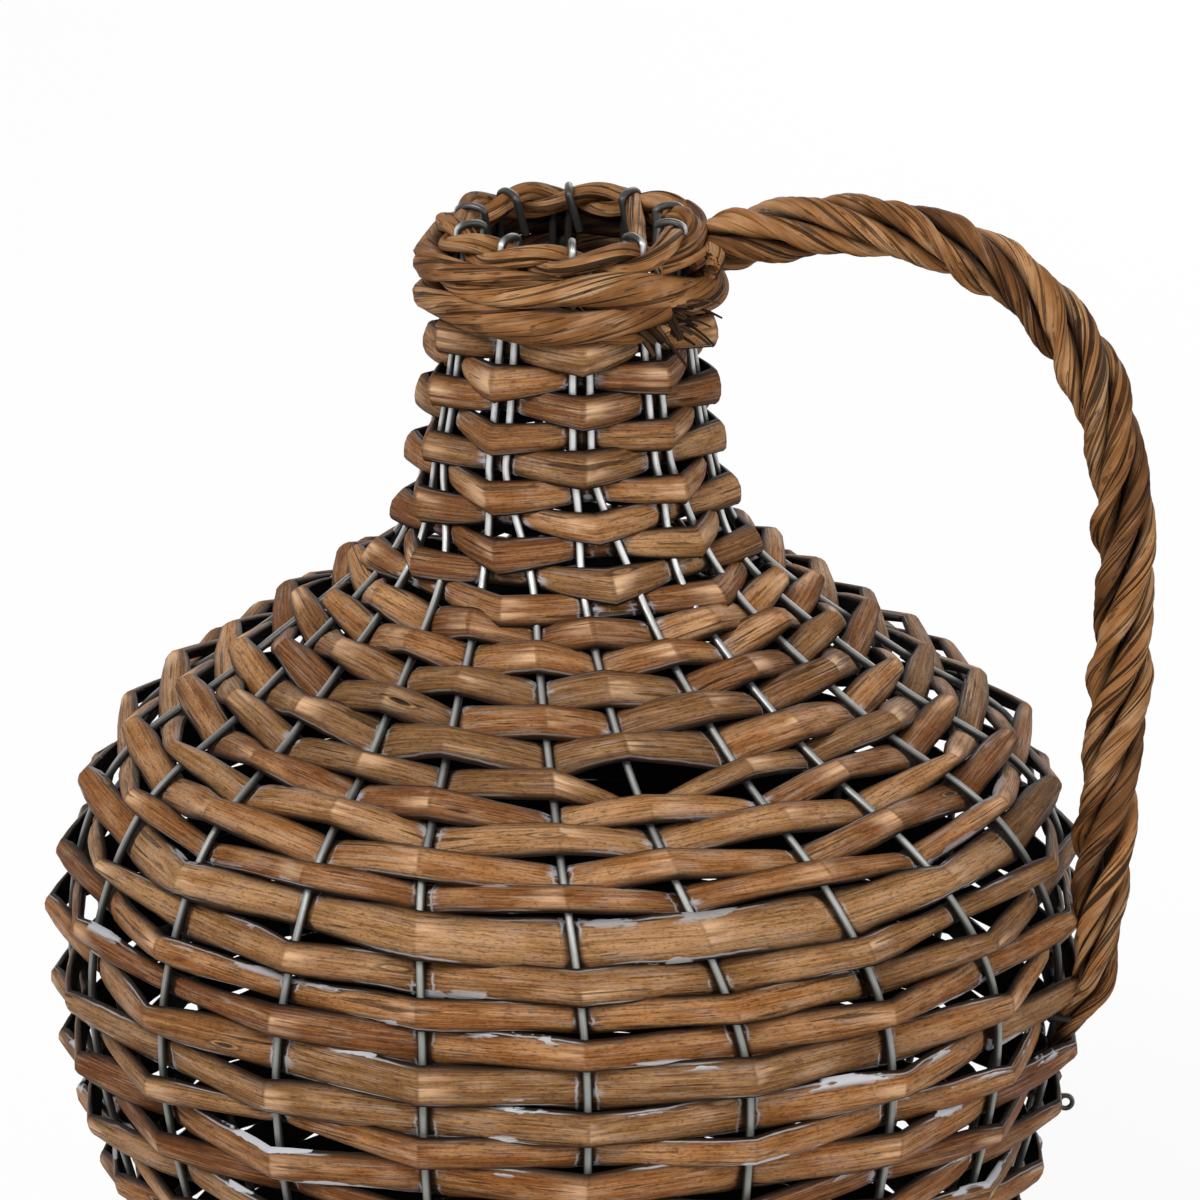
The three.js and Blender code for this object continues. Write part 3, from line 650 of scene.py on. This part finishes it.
for first in range(NECK_RODS):
    chance = np.random.default_rng(NECK_SEED + first)
    crossings = []
    for row in range(NECK_ROWS - first, 0, -NECK_RODS):
        for pair in range(BACK_PAIR, BACK_PAIR + PAIRS):
            width = NECK_PITCH * chance.uniform(*NECK_WIDTHS)
            level = TOP_ROW + (row - 1) * NECK_PITCH + chance.normal(0.0, NECK_SLIP)
            if passes_outside(row, 2 * pair):
                lift = NECK_OUTSIDE + chance.normal(0.0, NECK_LOOSE)
                crossings.append((pair_line(pair), level + FOLD_DROP, lift, width, 0.0))
            else:
                legs = (2 * pair, 2 * pair + 1)
                crossings += [(leg_line(leg), level, INSIDE, NECK_TAPER * width, 0.0) for leg in legs]
    skin = weft_skin(crossings, chance, NECK_GRAIN + first, NECK_FLARE, level_lift=True)
    strip = join(f"neck_strip_{first + 1}", [skin], split_willow)
    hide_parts(f"neck_weft_{first + 1}")

# Neck wrap: a stout willow rod, split along and twisted, wound nearly twice round the stakes above the
# weave. Its lower end breaks off in a frayed stub at the front right, and its upper turn starts over that.
WRAP_REACH = 46.6
WRAP_LOW = 435.2
WRAP_HIGH = 446.8
WRAP_START = 40.0
WRAP_TURN = 690.0
WRAP_CLIMB = (300.0, 395.0)
WRAP_LAY = -120.0
WRAP_POINTS = 260
WRAP_SEED = 12
WRAP_GRAIN = 80
WRAP_SHADOW = (-0.5, 0.15)
WRAP_PLACES = ((1.3, 2.8, 4.1, 3.7), (0.7, -2.9, 4.2, 3.7), (-2.4, 0.1, 2.8, 5.6))
FIBRES = 34
FIBRE_OUT = (0.15, 0.25)  # lean of the fibres of the frayed end, outwards and upwards, mean and spread
FIBRE_UP = (-0.2, 0.4)
FIBRE_LENGTHS = (5.0, 18.0)
FIBRE_RADII = (0.5, 1.1)
STUBS = 16
STUB_AWAY = 0.5
STUB_OUT = (0.3, 0.2)
STUB_UP = (-1.1, -0.2)
STUB_LENGTHS = (5.0, 11.0)
STUB_RADII = (1.4, 2.6)
FRAY_AZIMUTHS = (-16.0, 12.0)  # where the frayed end breaks off, from the start of the wrap
FRAY_DEPTHS = (-1.5, 4.0)
FRAY_RISES = (-4.0, 3.5)
FRAY_ROOT = 4.0
FRAY_POINTS = 6
FRAY_DROOP = -0.02
FRAY_TAPER = (1.0, 0.5)
# How far the frayed fibres are darkened, nearly all over.
FRAY_DARKENING = (0.4, 2.6)
FRAY_GRAIN = 200
ROD_SIDES = 12
ROD_WAVES = ((0.07, 21.0), (0.05, 6.1))  # shares by which a rod swells, and over what stretch
ROD_LOBES = (0.06, 0.04)  # shares by which it is out of round, three times and five times about
ROD_WANDER = 0.25
WANDER_STRETCHES = (17.0, 14.0)
GRAIN_STEP = 731.0  # how far apart the grain of two rods is taken
STRAIGHT_LAY = 900.0  # lay of a short rod that hardly twists
ROD_MID = (0.300, 0.128, 0.040)
ROD_PALE = (0.560, 0.345, 0.172)
ROD_DARK = (0.062, 0.023, 0.007)
ROD_RELIEF = 0.0011  # depth of its grain, metres
ROD_SHEEN = 0.1


def one_rod(radius):
    """The place and half widths of a single round rod."""
    return ((0.0, 0.0, radius, radius),)


def bundle_skins(path, outward, lay, places, chance, first, taper=(1.0, 1.0), shadow=(-3.0, -2.0)):
    """Rods side by side along a path: each has a place across it and two half widths. They darken from
    the second to the first share of shadow, which counts outwards from the middle of the bundle. The
    number of the first rod sets where its grain begins."""
    heading = unit(np.gradient(path, axis=0))
    outward = unit(outward - heading * np.sum(outward * heading, -1, keepdims=True))
    upward = np.cross(heading, outward)
    run = run_along(path)
    thin = np.interp(run, np.linspace(0.0, run[-1], len(taper)), taper)
    turn = np.arange(ROD_SIDES) * 2 * np.pi / ROD_SIDES
    cos, sin = np.cos(run / lay * 2 * np.pi)[:, None], np.sin(run / lay * 2 * np.pi)[:, None]
    extent = max(abs(aside) + wide for aside, _, wide, _ in places)
    skins = []
    for number, (aside, up, wide, tall) in enumerate(places):
        phase = chance.uniform(0.0, 2 * np.pi, 4)
        swell = waves(run, ROD_WAVES, phase[2:4]) * thin
        lobes = 1 + ROD_LOBES[0] * np.sin(3 * turn + phase[0]) + ROD_LOBES[1] * np.sin(5 * turn + phase[1])
        x = aside * thin[:, None] + (wide * swell)[:, None] * np.cos(turn) * lobes
        y = up * thin[:, None] + (tall * swell)[:, None] * np.sin(turn) * lobes
        out = x * cos - y * sin + ROD_WANDER * np.sin(run / WANDER_STRETCHES[0] + phase[0])[:, None]
        rise = x * sin + y * cos + ROD_WANDER * np.sin(run / WANDER_STRETCHES[1] + phase[1])[:, None]
        rings = path[:, None] + out[..., None] * outward[:, None] + rise[..., None] * upward[:, None]
        whole = np.ones_like(out)
        length = (run[:, None] + GRAIN_STEP * (first + number)) * MM
        ahead, beside = np.cos(turn) * wide * MM, np.sin(turn) * tall * MM
        grain = np.stack([length * whole, ahead * whole, beside * whole], -1)
        proud = np.hypot(x, y) / (np.hypot(aside, up) + min(wide, tall))
        hidden = 1 - smooth(out / extent, *shadow)
        place = np.stack([proud, hidden, whole * chance.uniform()], -1)
        skins.append(sleeve(rings, grain=grain, place=place))
    return skins


rod_willow, shade = new_finish("round_willow")
run, ahead, beside = shade.mark("grain").parts()
proud, hidden, tone = shade.mark("place").parts()
fibre = shade.noise(run * 30.0, ahead * 1150.0, beside * 1150.0, 4.0)
streak = shade.noise(run * 8.0, ahead * 300.0, beside * 300.0, 3.0)
cloud = shade.noise(run * 60.0, ahead * 150.0, beside * 150.0, 3.0)
colour = (streak * 0.6 + cloud * 0.6 + tone * 0.35).step(0.4, 1.0).between(ROD_DARK, ROD_MID)
pale = (cloud * 0.9 + fibre * 0.5 + tone * 0.25).step(0.75, 1.15)
colour = (pale * 0.6).between(colour, ROD_PALE)
colour = (fibre.step(0.50, 0.66) * 0.6).between(colour, ROD_DARK)
film = shade.noise(run * 46.0, ahead * 1500.0, beside * 1500.0, 3.0).step(0.55, 0.68)
colour = (film * cloud.step(0.4, 0.6) * 0.45).between(colour, FILM)
thread = shade.noise(run * 14.0, ahead * 780.0, beside * 780.0, 2.0).step(0.585, 0.635)
gap = shade.math("MAXIMUM", streak.step(0.59, 0.63), 0.8 * thread)
colour = (gap * 0.9).between(colour, CRACK_AND_SHADE)
blot = shade.noise(run * 110.0, ahead * 480.0, beside * 480.0, 3.0).step(0.60, 0.68)
colour = (blot * 0.55).between(colour, CRACK_AND_SHADE)
# Painted shade in the hollows between the rods of a bundle and on its inner side. The frayed fibres are made
# dark nearly all over by the same mix.
hollow = shade.math("MAXIMUM", 1.0 - proud.step(0.30, 0.62), hidden)
colour = (hollow * 0.9).between(colour, CRACK_AND_SHADE)
relief = 0.6 * streak - 1.3 * gap + 0.35 * fibre - 0.4 * blot
gloss = 0.60 - 0.1 * pale + 0.12 * fibre
lay_finish(shade, colour, gloss, relief, ROD_RELIEF, Specular_IOR_Level=ROD_SHEEN)

chance = np.random.default_rng(WRAP_SEED)
turned = np.linspace(0.0, WRAP_TURN, WRAP_POINTS)
wrap_azimuth = WRAP_START - turned
wrap_path = polar(WRAP_REACH, wrap_azimuth, WRAP_LOW + (WRAP_HIGH - WRAP_LOW) * smooth(turned, *WRAP_CLIMB))
wrap_out = polar(1.0, wrap_azimuth, 0.0)
wrap_skins = bundle_skins(wrap_path, wrap_out, WRAP_LAY, WRAP_PLACES, chance, WRAP_GRAIN, shadow=WRAP_SHADOW)
for number in range(FIBRES + STUBS):
    azimuth = WRAP_START + chance.uniform(*FRAY_AZIMUTHS)
    out = polar(1.0, azimuth, 0.0)
    away = polar(1.0, azimuth + 90.0, 0.0)
    root = polar(WRAP_REACH, azimuth, WRAP_LOW) + out * chance.uniform(*FRAY_DEPTHS)
    root = root + (0.0, 0.0, chance.uniform(*FRAY_RISES))
    if number < FIBRES:
        lean = away + out * chance.normal(*FIBRE_OUT) + (0.0, 0.0, chance.normal(*FIBRE_UP))
        length, thick = chance.uniform(*FIBRE_LENGTHS), chance.uniform(*FIBRE_RADII)
    else:
        lean = STUB_AWAY * away + out * chance.normal(*STUB_OUT) + (0.0, 0.0, chance.uniform(*STUB_UP))
        length, thick = chance.uniform(*STUB_LENGTHS), chance.uniform(*STUB_RADII)
    reach = np.linspace(-FRAY_ROOT, length, FRAY_POINTS)[:, None]
    droop = np.array((0.0, 0.0, FRAY_DROOP)) * np.maximum(reach, 0.0) ** 2
    path = root + unit(lean) * reach + droop
    wrap_skins += bundle_skins(path, np.tile(out, (FRAY_POINTS, 1)), STRAIGHT_LAY, one_rod(thick), chance,
                               FRAY_GRAIN + number, FRAY_TAPER, FRAY_DARKENING)
wrap = join("neck_winding", wrap_skins, rod_willow)
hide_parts("neck_wrap")

# Rim: two willow rods twined round the tops of the stakes so that they cross between the pairs, each
# with a thin rod beside it. The hooked stakes hold them from inside. Spare ends are laid in at the right,
# and one rod lies across the mouth there.
RIM_PLACES = ((0.5, 0.2, 2.9, 3.0), (-2.4, -0.5, 1.6, 1.9))
RIM_LAY = 170.0
RIM_SPAN = (181.0, 539.0)  # azimuths of a rod's two ends
RIM_POINTS = 200
RIM_SEED = 20
RIM_GRAIN = 90
LAID_IN = ((128.0, 62.0, 46.0, 455.5, 449.0, 1.9), (118.0, 44.0, 44.4, 458.5, 453.5, 1.6),
           (122.0, 40.0, 46.8, 452.5, 451.0, 1.5))  # azimuths, reach, heights and radius of a spare end
LAID_GRAIN = 96
SPARE_POINTS = 24
BRIDGE = ((38.5, 36.0, 456.5), (39.5, 147.0, 457.5))  # reach, azimuth, height of the rod across the mouth
BRIDGE_RADIUS = 2.7
BRIDGE_LAY = 400.0
BRIDGE_GRAIN = 100

for rod in (0, 1):
    chance = np.random.default_rng(RIM_SEED + rod)
    azimuth = np.linspace(*RIM_SPAN, RIM_POINTS)
    path = twine_point(rod, azimuth)
    skins = bundle_skins(path, polar(1.0, azimuth, 0.0), RIM_LAY, RIM_PLACES, chance, RIM_GRAIN + 2 * rod)
    if rod == 0:
        for number, (start, end, reach, high, low, thick) in enumerate(LAID_IN):
            azimuth = np.linspace(start, end, SPARE_POINTS)
            path = polar(reach, azimuth, high + (low - high) * smooth(azimuth, start, end))
            skins += bundle_skins(path, polar(1.0, azimuth, 0.0), STRAIGHT_LAY, one_rod(thick), chance,
                                  LAID_GRAIN + number)
    else:
        ends = [polar(*place) for place in BRIDGE]
        path = ends[0] + (ends[1] - ends[0]) * np.linspace(0.0, 1.0, SPARE_POINTS)[:, None]
        side = np.tile(np.array((1.0, 0.0, 0.0)), (SPARE_POINTS, 1))
        skins += bundle_skins(path, side, BRIDGE_LAY, one_rod(BRIDGE_RADIUS), chance, BRIDGE_GRAIN)
    twine = join(f"rim_rod_{rod + 1}", skins, rod_willow)
    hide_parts(f"rim_twine_{rod + 1}")

# Handle: four willow strands laid like a rope round a wire core, some with a thin rod laid in beside
# them. They leave the rim at the side, thin out and tuck into the weave of the belly.
STRAND_RADIUS = 4.0
STRAND_SWING = 6.34
STRAND_LAY = 100.0
CORE_RADIUS = 1.2
FIT = 0.3
WEAVE_LIFT = 3.7
STRIP_HALF = 1.5
HANDLE_AZIMUTH = 88.0
HANDLE_REACH = 189.0
HANDLE_CREST = 20.0
HANDLE_HANG = 108.0
OUTWARD_PULL = 0.46
ANCHOR_DROP = 18.0
STRAND_TIP = 0.7
STRAND_TIP_LENGTH = 40.0
TIP_END = 0.22  # share of its size that a strand has at its very end
TIP_BULGE = 4.0
TIP_STEPS = 10
TIP_LEAD = 8  # points before the end of the arc from which the tip takes its heading
TUCK_LENGTH = 11.0
TUCK_POINTS = 8
ROOT_SHARE = 0.75  # share of its size that a strand has inside the rim
ROOT_LENGTH = 4.0
HOOKED_RADIUS = 4.7  # of the wrap that the core hooks over
HOOKED_HEIGHT = 444.6
HOOK_ROOM = 1.1  # a hook is this many times as large as a tight one
HOOK_RADIUS = (HOOKED_RADIUS + FIT + CORE_RADIUS) * HOOK_ROOM
STRAND_PLACES = (((0.1, 0.0, 3.9, 4.4),), ((0.0, 0.7, 3.9, 3.9), (0.6, -3.6, 1.9, 1.7)),
                 ((0.1, 0.0, 3.7, 4.5),), ((0.0, -0.6, 3.9, 4.0), (0.5, 3.7, 1.9, 1.6)))
STRAND_ROLL = 125.0
STRAND_SHADOW = (-0.3, 0.4)
HANDLE_SEED = 40
HANDLE_GRAIN = 110
HANDLE_POINTS = 240
ARC_POINTS = 120


def bezier(a, b, c, d, steps):
    t = np.linspace(0.0, 1.0, steps)[:, None]
    return (1 - t) ** 3 * a + 3 * (1 - t) ** 2 * t * b + 3 * (1 - t) * t**2 * c + t**3 * d


anchor_level = neck_end + (ANCHOR_ROW - NECK_ROWS) * body_pitch
anchor = stake_point(ANCHOR_LEG, anchor_level)
anchor_azimuth = math.degrees(math.atan2(anchor[0], -anchor[1]))
at_end = stake_point(ANCHOR_LEG, anchor_level - ANCHOR_DROP)
tip_radius = (STRAND_SWING + STRAND_RADIUS) * STRAND_TIP
start = np.array((WRAP_REACH + HOOKED_RADIUS + 2 * FIT, HOOKED_HEIGHT + HOOK_RADIUS))
end = np.array((np.hypot(*at_end[:2]) + WEAVE_LIFT + STRIP_HALF + tip_radius + FIT, at_end[2]))
outermost = np.array((HANDLE_REACH, start[1] - HANDLE_HANG))
pull = np.array((start[0] + (outermost[0] - start[0]) * OUTWARD_PULL, start[1] + HANDLE_CREST))
drop = np.array((0.0, (outermost[1] - end[1]) / 3))
line = np.vstack([bezier(start, pull, np.array((outermost[0], start[1])), outermost, ARC_POINTS),
                  bezier(outermost, outermost - drop, end + drop, end, ARC_POINTS)[1:]])
reach = run_along(line)
even = np.linspace(0.0, reach[-1], HANDLE_POINTS)
line = np.stack([np.interp(even, reach, line[:, i]) for i in range(2)], -1)
handle_azimuth = HANDLE_AZIMUTH + (anchor_azimuth - HANDLE_AZIMUTH) * even / even[-1]
handle = polar(line[:, 0], handle_azimuth, line[:, 1])
heading = carried(handle)[0]
back = np.linspace(TUCK_LENGTH, 0.0, TUCK_POINTS, endpoint=False)
tucked = handle[0] - heading[0] * back[:, None]
tip = stake_point(ANCHOR_LEG, anchor_level + body_pitch)
over = 0.5 * (handle[-1] + anchor) + TIP_BULGE * unit(anchor * (1.0, 1.0, 0.0))
onward = through([handle[-TIP_LEAD], handle[-1], over, tip], TIP_STEPS)[TIP_STEPS:]
core_line = handle[:-1:2]
handle = np.vstack([tucked, handle[:-1], onward])
even = run_along(handle) - TUCK_LENGTH
_, handle_side, handle_up = carried(handle)
foot = even[-len(onward)]
shares = np.interp(even, (-TUCK_LENGTH, ROOT_LENGTH, foot - STRAND_TIP_LENGTH, foot, even[-1]),
                   (ROOT_SHARE, 1.0, 1.0, STRAND_TIP, TIP_END))

for strand, places in enumerate(STRAND_PLACES):
    chance = np.random.default_rng(HANDLE_SEED + strand)
    turn = 2 * np.pi * (even / STRAND_LAY + strand / len(STRAND_PLACES))
    spoke = np.cos(turn)[:, None] * handle_side + np.sin(turn)[:, None] * handle_up
    path = handle + STRAND_SWING * shares[:, None] * spoke
    skins = bundle_skins(path, spoke, STRAND_ROLL, places, chance, HANDLE_GRAIN + 3 * strand, shares,
                         STRAND_SHADOW)
    rope = join(f"handle_bundle_{strand + 1}", skins, rod_willow)
    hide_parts(f"handle_strand_{strand + 1}")

# Handle core: a thinner wire inside the strands. It is hooked over the neck wrap above, and its lower
# end goes round a stake of the belly.
TOP_HOOK_START = 290.0
TOP_HOOK_TURN = 200.0
TOP_HOOK_POINTS = 10
FOOT_HOOK_POINTS = 9

turned = np.linspace(0.0, 1.0, TOP_HOOK_POINTS, endpoint=False)
hook_turn = np.radians(TOP_HOOK_START - TOP_HOOK_TURN * turned)
top_hook = polar(WRAP_REACH + HOOK_RADIUS * np.cos(hook_turn), HANDLE_AZIMUTH,
                 HOOKED_HEIGHT + HOOK_RADIUS * np.sin(hook_turn))
outwards = unit(anchor * (1.0, 1.0, 0.0))
sideways = np.cross((0.0, 0.0, 1.0), outwards)
close = (WIRE_RADIUS + FIT + CORE_RADIUS) * HOOK_ROOM
clear = WEAVE_LIFT + STRIP_HALF + FIT + CORE_RADIUS
arc = np.linspace(0.0, np.pi, FOOT_HOOK_POINTS)
foot_hook = [anchor + outwards * clear + sideways * close,
             *(anchor - outwards * close * math.sin(t) + sideways * close * math.cos(t) for t in arc),
             anchor + outwards * clear - sideways * close]
core_path = np.vstack([top_hook, core_line, foot_hook])
core = join("handle_wire", [wire_skin(rounded(core_path, 1), CORE_RADIUS)], zinc)
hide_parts("handle_core")

# Wire eye: a short wire twisted round a stake below the handle, with its outer end curled into an eye.
# It stands out between two rows of the weave.
EYE_LEG = 4
EYE_HEIGHT = 146.0
EYE_STEM = 11.0
EYE_RADIUS = 2.4
EYE_WIRE = 0.9
EYE_GRIP = 1.6  # half the turn round the stake, radians
GRIP_POINTS = 9
EYE_CURL = 5.8  # turn of the eye, radians
CURL_POINTS = 16

eye_level = min(row_edges, key=lambda edge: abs(np.interp(edge, levels, wall[:, 1]) - EYE_HEIGHT))
post = stake_point(EYE_LEG, eye_level)
outwards = unit(post * (1.0, 1.0, 0.0))
sideways = np.cross(outwards, (0.0, 0.0, 1.0))
close = WIRE_RADIUS + EYE_WIRE
turns = np.linspace(-EYE_GRIP, EYE_GRIP, GRIP_POINTS)
grip = [post - close * (outwards * math.cos(t) - sideways * math.sin(t)) for t in turns]
stem = grip[-1] + outwards * EYE_STEM
curl = [stem + EYE_RADIUS * (outwards * math.sin(t) + np.array((0.0, 0.0, math.cos(t) - 1.0)))
        for t in np.linspace(0.0, EYE_CURL, CURL_POINTS)]
eye_path = np.vstack([grip, curl])
eye = join("wire_eye", [wire_skin(rounded(eye_path, 1), EYE_WIRE)], zinc)

# Floor, light and camera: a pale floor that the jug stands on, one large soft lamp above the front left,
# weaker ones on the right and behind, and even light all round.
FLOOR_REACH = 12.0
FLOOR_COLOUR = (0.90, 0.90, 0.90)
FLOOR_GLOW = 0.9
SKY_LEVEL = 0.32
WHITE = (1.0, 1.0, 1.0)
LAMP_AIM = (0.0, 0.0, 0.25)
CAMERA_PLACE = (0.0099, -2.46564, 1.14949)
CAMERA_TILT = 71.5
CAMERA_LENS = 229.41
CAMERA_SENSOR = 36.0
CAMERA_FAR = 60.0
LAMPS = (("key_lamp", (-1.2, -2.35, 2.65), 1.3, 104.0), ("fill_lamp", (2.0, -1.6, 1.4), 1.6, 26.0),
         ("back_lamp", (0.8, 2.6, 1.8), 1.8, 34.0))


def seen(shade):
    """1 where the camera sees a surface, straight or in metal or glass, and 0 where it lights others."""
    camera, glossy, through_glass = (
        shade.node("LightPath", {}, {}, f"Is {kind} Ray") for kind in ("Camera", "Glossy", "Transmission")
    )
    return shade.math("MAXIMUM", shade.math("MAXIMUM", camera, glossy), through_glass)


mesh = bpy.data.meshes.new("floor")
corners = [(x * FLOOR_REACH, y * FLOOR_REACH, 0.0) for x, y in ((-1, -1), (1, -1), (1, 1), (-1, 1))]
mesh.from_pydata(corners, [], [(0, 1, 2, 3)])
floor = bpy.data.objects.new("floor", mesh)
bpy.context.scene.collection.objects.link(floor)
pale_floor, shade = new_finish("pale_floor")
shown = seen(shade)
matt = shade.node("BsdfDiffuse", {}, {"Color": FLOOR_COLOUR})
glow = shade.node("Emission", {}, {"Color": WHITE, "Strength": 1.0})
mixed = shade.node("MixShader", {}, {0: shown * FLOOR_GLOW, 1: matt, 2: glow})
shade.node("OutputMaterial", {}, {"Surface": mixed})
mesh.materials.append(pale_floor)

world = bpy.data.worlds.new("studio")
bpy.context.scene.world = world
world.use_nodes = True
world.node_tree.nodes.clear()
shade = Shade(world.node_tree)
brightness = SKY_LEVEL + (1.0 - SKY_LEVEL) * seen(shade)
sky = shade.node("Background", {}, {"Color": WHITE, "Strength": brightness})
shade.node("OutputWorld", {}, {"Surface": sky})

for name, place, size, power in LAMPS:
    lamp = bpy.data.lights.new(name, "AREA")
    lamp.size = size
    lamp.energy = power
    held = bpy.data.objects.new(name, lamp)
    held.location = place
    aim = np.array(LAMP_AIM) - np.array(place)
    flat_reach = math.hypot(aim[0], aim[1])
    held.rotation_euler = (math.atan2(flat_reach, -aim[2]), 0.0, math.atan2(-aim[0], aim[1]))
    bpy.context.scene.collection.objects.link(held)

lens = bpy.data.cameras.new("camera")
lens.lens = CAMERA_LENS
lens.sensor_width = CAMERA_SENSOR
lens.clip_end = CAMERA_FAR
camera = bpy.data.objects.new("camera", lens)
camera.location = CAMERA_PLACE
camera.rotation_euler = (math.radians(CAMERA_TILT), 0.0, 0.0)
bpy.context.scene.collection.objects.link(camera)
bpy.context.scene.camera = camera
bpy.context.scene.view_settings.view_transform = "Standard"
